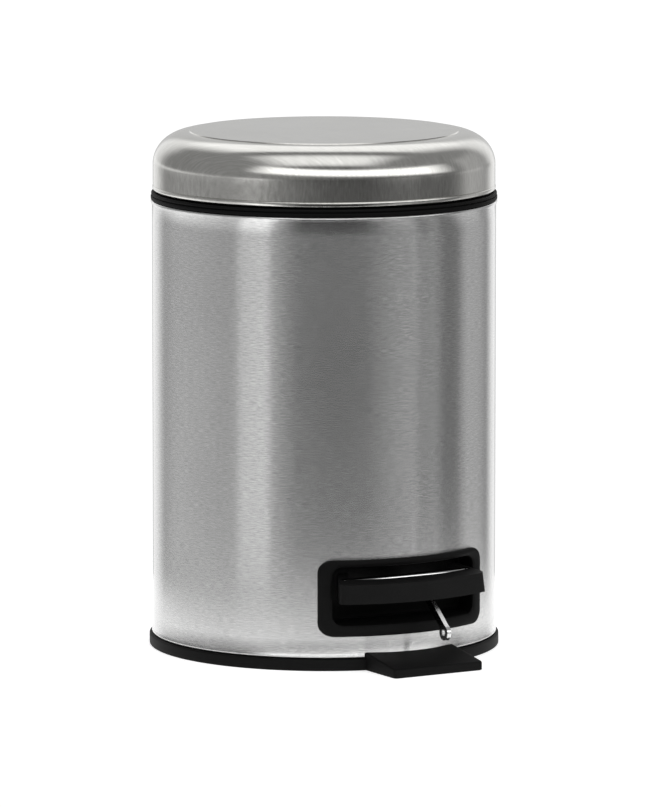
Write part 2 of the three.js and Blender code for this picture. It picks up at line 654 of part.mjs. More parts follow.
function lidLiner() {
  const ring = revolve([
    [LINER_INSIDE, LINER_BOTTOM], [83, LINER_BOTTOM], [83.5, LINER_BOTTOM + 0.8], [83.5, 238],
    [82, 238], [82, LINER_BOTTOM + 2.4], [LINER_INSIDE + 1.6, LINER_BOTTOM + 2.4],
    [LINER_INSIDE + 1.6, LINER_BOTTOM + 5], [LINER_INSIDE, LINER_BOTTOM + 5],
  ]);
  const screwHoles = ARM_SCREWS.map((x) => drum(1.25 + GAP, 220, 240, 12).translate([x, ARM_SCREW_Y, 0]));
  const bumperHoles = BUMPER_ANGLES.map((angle) => {
    const [x, y] = polar(BUMPER_RADIUS, angle);
    return drum(1.3 + GAP, 220, 240, 12).translate([x, y, 0]);
  });
  return piece('lid_liner', build([ring], [...screwHoles, ...bumperHoles]), blackPlastic);
}

// Knuckle, web under the lid's edge, pad screwed to the liner, and the crank that the push rod lifts.
function hingeArm() {
  const padTop = LINER_BOTTOM - GAP;
  const web = acrossX(polygon([
    [HINGE.y, HINGE.z - 2.4], [HINGE.y, HINGE.z + 2.1], [81.6, HINGE.z + 2.1], [81.6, padTop],
    [76.6, padTop], [76.6, 225], [79.4, HINGE.z - 2.4],
  ]), -KNUCKLE_HALF_WIDTH, KNUCKLE_HALF_WIDTH);
  const pad = acrossZ(roundedRectangle(-13.5, 13.5, 74.6, 81.6, 2.5), padTop - 2.4, padTop);
  const knuckle = barX(KNUCKLE_RADIUS, -KNUCKLE_HALF_WIDTH, KNUCKLE_HALF_WIDTH, HINGE.y, HINGE.z);
  const crankEnd = {
    y: HINGE.y - CRANK_RADIUS * Math.cos(rad(CRANK_ANGLE)),
    z: HINGE.z - CRANK_RADIUS * Math.sin(rad(CRANK_ANGLE)),
  };
  const across = rad(90 - CRANK_ANGLE);
  const tip = CRANK_HOLE + 1.1;
  const crank = new THREE.Shape();
  crank.absarc(HINGE.y, HINGE.z, KNUCKLE_RADIUS - 0.1, across + Math.PI, across, false);
  const start = across + Math.PI / 9;
  crank.lineTo(crankEnd.y + tip * Math.cos(start), crankEnd.z + tip * Math.sin(start));
  crank.absarc(crankEnd.y, crankEnd.z, tip, start, across + Math.PI, false);
  return piece('hinge_arm', build([web, pad, knuckle, acrossX(crank, -1.5, 1.5)], [
    barX(HINGE_PIN_RADIUS + GAP, -20, 20, HINGE.y, HINGE.z),
    barX(CRANK_HOLE, -5, 5, crankEnd.y, crankEnd.z, 24),
    ...ARM_SCREWS.map((x) => drum(1.25 + GAP, 215, 240, 12).translate([x, ARM_SCREW_Y, 0])),
  ]), blackPlastic);
}

function armScrew(name, x) {
  const underside = LINER_BOTTOM - GAP - 2.4 - 0.3;
  const screw = revolve([
    [0, underside - 1.4], [1.8, underside - 1.4], [2.4, underside], [1.25, underside],
    [1.25, LINER_BOTTOM + 5], [0, LINER_BOTTOM + 6.2],
  ], 12);
  return piece(name, screw.translate([x, ARM_SCREW_Y, 0]), zinc);
}

function lidBumper(name, angle) {
  const [x, y] = polar(BUMPER_RADIUS, angle);
  const underside = LINER_BOTTOM - GAP;
  const button = revolve([
    [0, RIM_TOP + GAP], [2.3, RIM_TOP + GAP], [2.8, RIM_TOP + GAP + 0.6], [2.8, underside], [1.3, underside],
    [1.3, LINER_BOTTOM + 2.7], [1.9, LINER_BOTTOM + 2.7], [1.2, LINER_BOTTOM + 4], [0, LINER_BOTTOM + 4],
  ], 16);
  return piece(name, button.translate([x, y, 0]), rubber);
}

// ---------------------------------------------------------------- the bin

function group(name, ...members) {
  const assembly = new THREE.Group();
  assembly.name = name;
  assembly.add(...members);
  return assembly;
}

export default group(
  'pedal_bin',
  group(
    'body',
    outerShell(),
    baseTray(),
    collarRing(),
    pedalBezel(),
    innerBucket(),
    pedalAxle(),
    axleClip('axle_clip_left', -1),
    axleClip('axle_clip_right', 1),
    rodGuide(),
    hingeBracket(),
    hingePin(),
    bracketScrew('bracket_screw_left', -1),
    bracketScrew('bracket_screw_right', 1),
    bracketNut('bracket_nut_left', -1),
    bracketNut('bracket_nut_right', 1),
  ),
  group('bail', bucketHandle()),
  group('pedal', pedalLever(), pedalCrossbar(), pedalArch(), stopLeg(), legRivet()),
  group('rod', pushRod()),
  group(
    'lid',
    lidShell(),
    lidLiner(),
    hingeArm(),
    armScrew('arm_screw_left', ARM_SCREWS[0]),
    armScrew('arm_screw_right', ARM_SCREWS[1]),
    lidBumper('lid_bumper_left', BUMPER_ANGLES[0]),
    lidBumper('lid_bumper_right', BUMPER_ANGLES[1]),
  ),
);
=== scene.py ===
"""The looks of a three-litre pedal bin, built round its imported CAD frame. Blender 4.5, metres."""

import math

import bmesh
import bpy
from mathutils import Matrix, Vector


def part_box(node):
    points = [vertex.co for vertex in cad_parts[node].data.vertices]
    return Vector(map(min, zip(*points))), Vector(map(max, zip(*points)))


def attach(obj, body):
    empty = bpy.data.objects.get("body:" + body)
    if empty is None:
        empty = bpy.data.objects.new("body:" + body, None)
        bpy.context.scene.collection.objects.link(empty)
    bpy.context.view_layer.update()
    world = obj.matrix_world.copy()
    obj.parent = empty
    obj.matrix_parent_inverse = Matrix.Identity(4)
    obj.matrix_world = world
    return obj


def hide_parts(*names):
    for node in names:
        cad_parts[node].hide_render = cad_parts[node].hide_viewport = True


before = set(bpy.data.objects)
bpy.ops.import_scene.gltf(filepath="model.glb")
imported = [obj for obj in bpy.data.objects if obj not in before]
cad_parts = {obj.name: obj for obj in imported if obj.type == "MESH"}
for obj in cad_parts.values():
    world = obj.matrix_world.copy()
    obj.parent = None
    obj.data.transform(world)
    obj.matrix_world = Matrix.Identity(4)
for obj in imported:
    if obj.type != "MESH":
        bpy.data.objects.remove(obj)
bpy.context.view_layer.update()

MM = 0.001

# ------------------------------------------------------------------ sizes, in millimetres

SIDES = 256                 # facets round the big turned pieces
SHEET = 0.6
SHELL_RADIUS = 85.0
HEM_RADIUS = 0.9
WINDOW_CUT = (-41.6, 41.6, 20.5, 52.9, 6)   # left, right, bottom, top and corner radius, cut in the shell
SCREW_X = 13.5
SCREW_Z = 202

SPIGOT_RADIUS = 83.5        # the base and collar plug into the shell
SPIGOT_TOP = 15.5
SPIGOT_INSIDE = 81.2
RING_TOP = 5.7
FLOOR_TOP = 3.4
TONGUE_HALF_WIDTH = 25
TONGUE_EDGE = 4.4           # its height at the front
TONGUE_ROOT = 8.3           # and where it meets the base ring
EAR_X = 12.5
EAR_SHEET = 3

FLANGE = (45.8, 16.8, 54.5)     # half width, bottom and top of the bezel's flange
OPENING = (39.5, 22.6, 50.8)    # and of the recess inside it
LEVER_SLOT = (9.5, 29.5, 41)    # and of the slot in the back of the recess
RECESS_BACK = -64.0

BUCKET_RIM = 81.2
BUCKET_TOP = 75.4
BUCKET_FOOT = 69.0
BUCKET_WALL = 1.4
BAIL_Z = 214.0
BAIL_RADIUS = 70.5
BAIL_WIRE = 1.5

PIVOT = (-22.0, 16.0)       # the axle, as (y, z)
AXLE_HOLE = 2.3
EAR_RADIUS = 4.2
HOOK = (81, 10)             # where the push rod hooks into the lever's tab
ROD_WIRE = 1.25
LEVER_LINE = ((77, 12), (-30, 21.6), (-74.2, 41.7))
LEVER_SHEET = 1.6
LEVER_HALF_WIDTH = 8.1
CROSSBAR = (-79.0, 43.6)
CROSSBAR_RADIUS = 1.7
RIVET = (6, -69.5)          # across, and along the lever
LEG_LEFT = 3.6
LEG_RIGHT = 8.4
LEG_BAR = 2.2
LEG_DEPTH = 4.0
LEG_FOOT_LINE = ((-66.5, 35.45), (-73.2, 38.7), (-80, 38.7))
LEG_BAR_LINE = ((-74.6, 37.35), (-84.4, 37.35), (-105.3, 20.35))
LEG_EYE = (-104.3, 19.1)
LEG_EYE_RADIUS = 3.8
LEG_EYE_HOLE = 1.5
ARCH_OUTSIDE = 96.1
ARCH_INSIDE = 87.4
ARCH_END_RADIUS = 79.0
ARCH_HALF_ANGLE = 25.8
ARCH_CORNER = 3.5
ARCH_WALL = 2.8
ARCH_UNDERSIDE = 34.3
ARCH_RAKE = 0.14            # how much its front leans out for each millimetre down
ARCH_FALL = 0.18            # how much its top falls for each millimetre out

LID_RIM = 84.6
LID_SKIRT_TOP = 239.2
LID_DISC = 66.2
LID_CROWN = 0.25
LID_CREASE = 0.5
LINER_INSIDE = 74.0
LINER_SCREW_X = 10
BUMPER_RADIUS = 78.3
BUMPER_ANGLE = 35


def mm_box(node):
    low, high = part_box(node)
    return Vector(low) / MM, Vector(high) / MM


shell_low, shell_high = mm_box("outer_shell")
base_low, base_high = mm_box("base_tray")
collar_low, collar_high = mm_box("collar_ring")
lid_low, lid_high = mm_box("lid_shell")
bezel_low, _ = mm_box("pedal_bezel")
bucket_low, bucket_high = mm_box("inner_bucket")
liner_low, liner_high = mm_box("lid_liner")
_, rod_high = mm_box("push_rod")
_, crossbar_high = mm_box("pedal_crossbar")


# ------------------------------------------------------------------ node helpers

class Nodes:
    """A small builder for one material's or world's node tree."""

    def __init__(self, tree):
        self.tree = tree
        tree.nodes.clear()

    def add(self, kind, **settings):
        node = self.tree.nodes.new(kind)
        for key, value in settings.items():
            if hasattr(node, key):
                setattr(node, key, value)
            else:
                node.inputs[key.replace("_", " ")].default_value = value
        return node

    def link(self, source, target):
        self.tree.links.new(source, target)

    def math(self, operation, first, second=None, clamp=False):
        node = self.tree.nodes.new("ShaderNodeMath")
        node.operation = operation
        node.use_clamp = clamp
        for socket, value in zip(node.inputs, (first, second)):
            if value is None:
                continue
            if isinstance(value, (int, float)):
                socket.default_value = value
            else:
                self.link(value, socket)
        return node.outputs[0]

    def ramp(self, factor, stops):
        """A colour ramp from (position, colour or grey level) stops, at most 32 of them."""
        node = self.tree.nodes.new("ShaderNodeValToRGB")
        elements = node.color_ramp.elements
        while len(elements) < len(stops):
            elements.new(0.5)
        for element, (position, colour) in zip(elements, stops):
            element.position = position
            element.color = (*colour, 1) if isinstance(colour, tuple) else (colour, colour, colour, 1)
        self.link(factor, node.inputs[0])
        return node.outputs[0]

    def noise(self, vector, scale, detail=2.0, roughness=0.5):
        node = self.add("ShaderNodeTexNoise")
        node.inputs["Scale"].default_value = scale
        node.inputs["Detail"].default_value = detail
        node.inputs["Roughness"].default_value = roughness
        self.link(vector, node.inputs["Vector"])
        return node.outputs["Fac"]

    def scaled(self, vector, scale, location=(0, 0, 0)):
        node = self.add("ShaderNodeMapping")
        node.inputs["Scale"].default_value = scale
        node.inputs["Location"].default_value = location
        self.link(vector, node.inputs["Vector"])
        return node.outputs[0]

    def combine(self, x, y, z):
        node = self.add("ShaderNodeCombineXYZ")
        for socket, value in zip(node.inputs, (x, y, z)):
            if isinstance(value, (int, float)):
                socket.default_value = value
            else:
                self.link(value, socket)
        return node.outputs[0]

    def remap(self, value, low, high):
        node = self.add("ShaderNodeMapRange")
        node.inputs["To Min"].default_value = low
        node.inputs["To Max"].default_value = high
        self.link(value, node.inputs["Value"])
        return node.outputs[0]

    def mix(self, factor, first, second):
        node = self.add("ShaderNodeMix", data_type="RGBA")
        self.link(factor, node.inputs[0])
        for socket, value in ((node.inputs[6], first), (node.inputs[7], second)):
            if isinstance(value, tuple):
                socket.default_value = (*value, 1)
            else:
                self.link(value, socket)
        return node.outputs[2]

    def bump(self, height, strength, distance):
        node = self.add("ShaderNodeBump")
        node.inputs["Strength"].default_value = strength
        node.inputs["Distance"].default_value = distance
        self.link(height, node.inputs["Height"])
        return node.outputs[0]


def new_material(name):
    material = bpy.data.materials.new(name)
    material.use_nodes = True
    nodes = Nodes(material.node_tree)
    shader = nodes.add("ShaderNodeBsdfPrincipled")
    output = nodes.add("ShaderNodeOutputMaterial")
    nodes.link(shader.outputs[0], output.inputs[0])
    return material, nodes, shader


def object_position(nodes):
    """The point in the object's own frame, which is the bin's frame for every piece, in metres."""
    return nodes.add("ShaderNodeTexCoord").outputs["Object"]


def round_the_axis(nodes, position):
    """How far round the shell the point is, measured at the shell's radius, and its height, in metres."""
    split = nodes.add("ShaderNodeSeparateXYZ")
    nodes.link(position, split.inputs[0])
    x, y, z = split.outputs
    angle = nodes.math("ARCTAN2", x, y)
    return nodes.math("MULTIPLY", angle, SHELL_RADIUS * MM), z


# ------------------------------------------------------------------ materials

def brushed_shell_steel():
    """Steel brushed round the body: short wavy scratches, and highlights drawn out up and down."""
    material, nodes, shader = new_material("brushed_shell_steel")
    around, height = round_the_axis(nodes, object_position(nodes))
    flat = nodes.combine(around, height, 0.0)
    wave = nodes.noise(nodes.scaled(flat, (60, 90, 1)), 1.0, 2.0)
    bent = nodes.combine(around, nodes.math("ADD", height, nodes.math("MULTIPLY", wave, 0.0006)), 0.0)
    fine = nodes.noise(nodes.scaled(bent, (260, 2600, 1)), 1.0, 3.0, 0.65)
    long = nodes.noise(nodes.scaled(bent, (40, 1500, 1), (3, 7, 0)), 1.0, 2.0, 0.6)
    lines = nodes.math("ADD", nodes.math("MULTIPLY", fine, 0.85), nodes.math("MULTIPLY", long, 0.15))
    cloud = nodes.noise(nodes.scaled(flat, (18, 12, 1), (1, 5, 0)), 1.0, 3.0)
    tone = nodes.math("ADD", nodes.math("MULTIPLY", lines, 0.85), nodes.math("MULTIPLY", cloud, 0.15))
    dark, middle, pale = (0.46, 0.46, 0.46), (0.62, 0.62, 0.617), (0.80, 0.797, 0.79)
    colour = nodes.ramp(tone, [(0.28, dark), (0.5, middle), (0.72, pale)])
    nodes.link(colour, shader.inputs["Base Color"])
    nodes.link(nodes.remap(tone, 0.17, 0.23), shader.inputs["Roughness"])
    nodes.link(nodes.bump(lines, 0.3, 0.00002), shader.inputs["Normal"])
    tangent = nodes.add("ShaderNodeTangent", direction_type="RADIAL", axis="Z")
    nodes.link(tangent.outputs[0], shader.inputs["Tangent"])
    shader.inputs["Metallic"].default_value = 1.0
    shader.inputs["Anisotropic"].default_value = 1.0
    shader.inputs["Anisotropic Rotation"].default_value = 0.25
    return material


def satin_lid_steel():
    """The lid's satin steel: fine scratches across the dome, faintly warm."""
    material, nodes, shader = new_material("satin_lid_steel")
    position = object_position(nodes)
    turned = nodes.add("ShaderNodeVectorRotate", rotation_type="Z_AXIS")
    turned.inputs["Angle"].default_value = math.radians(62)
    nodes.link(position, turned.inputs["Vector"])
    lines = nodes.noise(nodes.scaled(turned.outputs[0], (90, 2400, 200)), 1.0, 3.0, 0.6)
    grain = nodes.noise(nodes.scaled(position, (1400, 1400, 1400)), 1.0, 2.0)
    cloud = nodes.noise(nodes.scaled(position, (22, 22, 22)), 1.0, 3.0)
    tone = nodes.math("ADD", nodes.math("MULTIPLY", lines, 0.7), nodes.math("MULTIPLY", cloud, 0.3))
    dark, middle, pale = (0.52, 0.515, 0.49), (0.62, 0.615, 0.59), (0.72, 0.715, 0.69)
    colour = nodes.ramp(tone, [(0.3, dark), (0.5, middle), (0.7, pale)])
    nodes.link(colour, shader.inputs["Base Color"])
    nodes.link(nodes.remap(tone, 0.15, 0.2), shader.inputs["Roughness"])
    surface = nodes.math("ADD", nodes.math("MULTIPLY", lines, 0.7), nodes.math("MULTIPLY", grain, 0.3))
    nodes.link(nodes.bump(surface, 0.3, 0.00002), shader.inputs["Normal"])
    shader.inputs["Metallic"].default_value = 1.0
    return material


def bright_steel(name, grain, roughness, tint):
    """Bare or zinc-plated steel with a drawn grain; grain is the scale along X, Y and Z."""
    material, nodes, shader = new_material(name)
    position = object_position(nodes)
    lines = nodes.noise(nodes.scaled(position, grain), 1.0, 3.0, 0.6)
    cloud = nodes.noise(nodes.scaled(position, (90, 90, 90)), 1.0, 3.0)
    tone = nodes.math("ADD", nodes.math("MULTIPLY", lines, 0.6), nodes.math("MULTIPLY", cloud, 0.4))
    dark = tuple(0.78 * value for value in tint)
    nodes.link(nodes.ramp(tone, [(0.3, dark), (0.65, tint)]), shader.inputs["Base Color"])
    nodes.link(nodes.remap(tone, roughness * 0.8, roughness * 1.3), shader.inputs["Roughness"])
    nodes.link(nodes.bump(lines, 0.25, 0.00002), shader.inputs["Normal"])
    shader.inputs["Metallic"].default_value = 1.0
    return material


def bar_steel_painted_dark_sides():
    """Flat bar with bright rolled faces; its sides, square to X, are painted near black: painted shade and
    painted reflection of the dark recess round them.
    """
    material, nodes, shader = new_material("bar_steel_painted_dark_sides")
    position = object_position(nodes)
    normal = nodes.add("ShaderNodeTexCoord").outputs["Normal"]
    split = nodes.add("ShaderNodeSeparateXYZ")
    nodes.link(normal, split.inputs[0])
    sideways = nodes.math("ABSOLUTE", split.outputs[0])
    lines = nodes.noise(nodes.scaled(position, (1500, 150, 1500)), 1.0, 3.0, 0.6)
    bright = nodes.ramp(lines, [(0.3, (0.62, 0.62, 0.62)), (0.65, (0.80, 0.80, 0.80))])
    # painted shade: a near-black colour for the sides that face along X, standing in for the dark they mirror
    dark = nodes.ramp(lines, [(0.3, (0.03, 0.03, 0.03)), (0.65, (0.06, 0.06, 0.06))])
    # where the painted shade goes: faces turned more than about 0.6 towards X
    side = nodes.math("MULTIPLY", nodes.math("SUBTRACT", sideways, 0.6), 5, clamp=True)
    nodes.link(nodes.mix(side, bright, dark), shader.inputs["Base Color"])
    nodes.link(nodes.remap(lines, 0.2, 0.32), shader.inputs["Roughness"])
    nodes.link(nodes.bump(lines, 0.25, 0.00002), shader.inputs["Normal"])
    shader.inputs["Metallic"].default_value = 1.0
    return material


def moulded_plastic(name, dark, pale, roughness, shine, grain=900, bump=0.25):
    """Moulded plastic: a fine spark-eroded grain, slightly uneven in tone and gloss."""
    material, nodes, shader = new_material(name)
    position = object_position(nodes)
    grains = nodes.noise(nodes.scaled(position, (grain, grain, grain)), 1.0, 3.0, 0.6)
    cloud = nodes.noise(nodes.scaled(position, (35, 35, 35)), 1.0, 3.0)
    tone = nodes.math("ADD", nodes.math("MULTIPLY", grains, 0.4), nodes.math("MULTIPLY", cloud, 0.6))
    nodes.link(nodes.ramp(tone, [(0.35, dark), (0.65, pale)]), shader.inputs["Base Color"])
    nodes.link(nodes.remap(tone, roughness * 0.85, roughness * 1.15), shader.inputs["Roughness"])
    nodes.link(nodes.bump(grains, bump, 0.00004), shader.inputs["Normal"])
    shader.inputs["Specular IOR Level"].default_value = shine
    return material


SHELL_STEEL = brushed_shell_steel()
LID_STEEL = satin_lid_steel()
LEVER_STEEL = bright_steel("drawn_lever_steel", (1500, 150, 1500), 0.12, (0.80, 0.80, 0.80))
# the stop leg's bar steel, with painted shade on its sides
BAR_STEEL = bar_steel_painted_dark_sides()
ZINC_STEEL = bright_steel("zinc_plated_steel", (700, 700, 250), 0.35, (0.66, 0.67, 0.69))
BLACK = moulded_plastic("moulded_black_plastic", (0.002, 0.002, 0.002), (0.004, 0.004, 0.004), 0.6, 0.11)
PEDAL_BLACK = moulded_plastic("pedal_plastic", (0.004, 0.004, 0.004), (0.008, 0.008, 0.008), 0.55, 0.11)
BUCKET_BLACK = moulded_plastic(
    "bucket_plastic", (0.008, 0.008, 0.009), (0.014, 0.014, 0.015), 0.5, 0.3, 500, 0.15)
RUBBER = moulded_plastic("bumper_rubber", (0.008, 0.008, 0.008), (0.016, 0.016, 0.016), 0.8, 0.3, 1500, 0.4)


# ------------------------------------------------------------------ mesh helpers

def arc(centre, radius, start, end, steps):
    """Points on a circle from one angle to another, in degrees."""
    points = []
    for k in range(steps + 1):
        angle = math.radians(start + (end - start) * k / steps)
        points.append((centre[0] + radius * math.cos(angle), centre[1] + radius * math.sin(angle)))
    return points


def lofted(sections, closed=False):
    """A mesh through a row of point loops, all with the same number of points, in millimetres."""
    mesh = bmesh.new()
    rings = [[mesh.verts.new(Vector(point) * MM) for point in section] for section in sections]
    count = len(rings[0])
    pairs = list(zip(rings, rings[1:])) + ([(rings[-1], rings[0])] if closed else [])
    for ring, following in pairs:
        for k in range(count):
            after = (k + 1) % count
            mesh.faces.new((ring[k], ring[after], following[after], following[k]))
    if not closed:
        mesh.faces.new(rings[0][::-1])
        mesh.faces.new(rings[-1])
    bmesh.ops.remove_doubles(mesh, verts=mesh.verts, dist=1e-7)
    bmesh.ops.recalc_face_normals(mesh, faces=mesh.faces)
    return mesh


def turned(profile, sides=SIDES):
    """A solid of revolution about Z from a closed (radius, height) outline."""
    sections = []
    for k in range(sides):
        angle = 2 * math.pi * k / sides
        sections.append([(r * math.sin(angle), -r * math.cos(angle), z) for r, z in profile])
    mesh = lofted(sections, closed=True)
    bmesh.ops.dissolve_degenerate(mesh, edges=mesh.edges, dist=1e-7)
    bmesh.ops.recalc_face_normals(mesh, faces=mesh.faces)
    return mesh


def block(low, high):
    corners = [(low[0], low[1]), (high[0], low[1]), (high[0], high[1]), (low[0], high[1])]
    return lofted([[(x, y, z) for x, y in corners] for z in (low[2], high[2])])


def prism_y(outline, front, back):
    """An (x, z) outline drawn out along Y."""
    return lofted([[(x, y, z) for x, z in outline] for y in (front, back)])


def rounded_rectangle(left, right, bottom, top, radius, steps=10):
    corners = (
        ((right - radius, top - radius), 0), ((left + radius, top - radius), 90),
        ((left + radius, bottom + radius), 180), ((right - radius, bottom + radius), 270),
    )
    return [point for centre, start in corners for point in arc(centre, radius, start, start + 90, steps)]


def swept(path, section):
    """A closed (across, up) section carried along a path, kept square to it."""
    points = [Vector(point) for point in path]
    ahead = points[1:] + points[-1:]
    behind = points[:1] + points[:-1]
    tangents = [(after - before).normalized() for before, after in zip(behind, ahead)]
    guide = Vector((0, 0, 1)) if abs(tangents[0].z) < 0.9 else Vector((0, 1, 0))
    side = tangents[0].cross(guide).normalized()
    sections = []
    for point, tangent in zip(points, tangents):
        side = (side - tangent * side.dot(tangent)).normalized()
        up = side.cross(tangent)
        sections.append([point + side * u + up * v for u, v in section])
    return lofted(sections)


def bent_path(corners, radius, steps=10):
    """A path through corner points with each corner rounded to one radius."""
    corners = [Vector(corner) for corner in corners]
    path = [corners[0]]
    for before, corner, after in zip(corners, corners[1:], corners[2:]):
        back = (before - corner).normalized()
        ahead = (after - corner).normalized()
        half = back.angle(ahead) / 2
        centre = corner + (back + ahead).normalized() * radius / math.sin(half)
        start = corner + back * radius / math.tan(half) - centre
        axis = (-back).cross(ahead).normalized()
        for k in range(steps + 1):
            path.append(centre + Matrix.Rotation((math.pi - 2 * half) * k / steps, 3, axis) @ start)
    path.append(corners[-1])
    return path


def to_object(name, mesh, sharp=32):
    """A new object from a bmesh, smooth but for edges sharper than an angle in degrees."""
    for face in mesh.faces:
        face.smooth = True
    for edge in mesh.edges:
        edge.smooth = edge.calc_face_angle(0.0) < math.radians(sharp)
    data = bpy.data.meshes.new(name)
    mesh.to_mesh(data)
    mesh.free()
    obj = bpy.data.objects.new(name, data)
    bpy.context.collection.objects.link(obj)
    return obj


def evaluated(obj):
    """The object's mesh with its modifiers, as a bmesh; the object itself is removed."""
    graph = bpy.context.evaluated_depsgraph_get()
    mesh = bmesh.new()
    mesh.from_mesh(obj.evaluated_get(graph).to_mesh())
    bpy.data.objects.remove(obj, do_unlink=True)
    return mesh


def combined(mesh, tools, operation="DIFFERENCE"):
    """Cuts or joins a bmesh with others by Blender's exact boolean."""
    target = to_object("work", mesh)
    helpers = []
    for tool in tools:
        helper = to_object("tool", tool)
        modifier = target.modifiers.new("cut", "BOOLEAN")
        modifier.operation = operation
        modifier.solver = "EXACT"
        modifier.object = helper
        helpers.append(helper)
    bpy.context.view_layer.update()
    result = evaluated(target)
    for helper in helpers:
        bpy.data.objects.remove(helper, do_unlink=True)
    bmesh.ops.remove_doubles(result, verts=result.verts, dist=2e-6)
    bmesh.ops.dissolve_degenerate(result, edges=result.edges, dist=1e-6)
    return result


def piece(name, mesh, body, material, stands_for, sharp=32, bevel=0.0, segments=2):
    """Makes the object, gives it its material, and hands it to the frame."""
    obj = to_object(name, mesh, sharp)
    obj.data.materials.append(material)
    if bevel:
        modifier = obj.modifiers.new("edges", "BEVEL")
        modifier.width = bevel * MM
        modifier.segments = segments
        modifier.limit_method = "ANGLE"
        modifier.angle_limit = math.radians(35)
        modifier.harden_normals = True
    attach(obj, body)
    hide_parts(*stands_for)
    return obj


def refined(node, body, material, bevel, segments=2):
    """A copy of a CAD node with its flat faces made whole and its edges rounded."""
    mesh = bmesh.new()
    mesh.from_mesh(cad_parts[node].data)
    bmesh.ops.remove_doubles(mesh, verts=mesh.verts, dist=1e-6)
    bmesh.ops.dissolve_limit(
        mesh, angle_limit=math.radians(1), verts=mesh.verts, edges=mesh.edges)
    return piece(node + "_detail", mesh, body, material, [node], 40, bevel, segments)


def rounded(outline, radius, steps=4):
    """A closed outline with its corners rounded, as far as its sides are long enough."""
    points = [Vector(point) for point in outline]
    result = []
    for before, corner, after in zip(points[-1:] + points[:-1], points, points[1:] + points[:1]):
        back, ahead = before - corner, after - corner
        reach = min(radius, 0.45 * back.length, 0.45 * ahead.length)
        if corner.x < 0.01 or reach < 0.01:
            result.append(tuple(corner))
            continue
        start = corner + back.normalized() * reach
        end = corner + ahead.normalized() * reach
        for k in range(steps + 1):
            t = k / steps
            result.append(tuple(start * (1 - t) ** 2 + corner * 2 * t * (1 - t) + end * t * t))
    return result


def prism_x(outline, left, right):
    """A (y, z) outline drawn out along X."""
    return lofted([[(x, y, z) for y, z in outline] for x in (left, right)])


def prism_z(outline, bottom, top):
    """An (x, y) outline drawn out along Z."""
    return lofted([[(x, y, z) for x, y in outline] for z in (bottom, top)])


def drum(radius, bottom, top, sides=SIDES):
    return prism_z(arc((0, 0), radius, 0, 360, sides)[:-1], bottom, top)


def round_bar(start, end, radius, sides=32):
    return swept([start, end], arc((0, 0), radius, 0, 360, sides)[:-1])


def wire(path, radius, sides=24):
    """A round wire along a path."""
    return swept(path, arc((0, 0), radius, 0, 360, sides)[:-1])


def turned_along_x(profile, y, z, sides=48):
    """A turned solid whose (radius, distance) outline runs along X."""
    mesh = turned(profile, sides)
    bmesh.ops.rotate(mesh, verts=mesh.verts, matrix=Matrix.Rotation(math.pi / 2, 3, "Y"))
    bmesh.ops.translate(mesh, verts=mesh.verts, vec=Vector((0, y, z)) * MM)
    return mesh


def sheet_outline(path, thickness):
    """The outline of bent sheet in side view, half a thickness each side of its middle line."""
    points = [Vector(point) for point in path]
    left, right = [], []
    for i, point in enumerate(points):
        along = (points[min(i + 1, len(points) - 1)] - points[max(i - 1, 0)]).normalized()
        normal = Vector((0, -along.z, along.y)) * thickness / 2
        left.append(point + normal)
        right.insert(0, point - normal)
    return [(point.y, point.z) for point in left + right]


# ------------------------------------------------------------------ shell, base and collar

def steel_shell():
    middle = SHELL_RADIUS - SHEET / 2
    bottom, top = shell_low.z + HEM_RADIUS, shell_high.z - HEM_RADIUS
    rows = 30
    neck = 1.6
    heights = [bottom + neck + (top - bottom - 2 * neck) * k / rows for k in range(rows + 1)]
    profile = [(SHELL_RADIUS, z) for z in heights]
    profile += arc((middle, top), HEM_RADIUS, -30, 200, 12)
    profile += [(SHELL_RADIUS - SHEET, z) for z in (heights[-1], heights[0])]
    profile += arc((middle, bottom), HEM_RADIUS, 160, 390, 12)
    mesh = combined(turned(profile), [
        prism_y(rounded_rectangle(*WINDOW_CUT), -100, -50),
        block((-8.5, 70, 209), (8.5, 100, 230)),
        round_bar((-SCREW_X, 75, SCREW_Z), (-SCREW_X, 95, SCREW_Z), 1.8),
        round_bar((SCREW_X, 75, SCREW_Z), (SCREW_X, 95, SCREW_Z), 1.8),
    ])
    piece("shell_sheet", mesh, "bin", SHELL_STEEL, ["outer_shell"], 28)


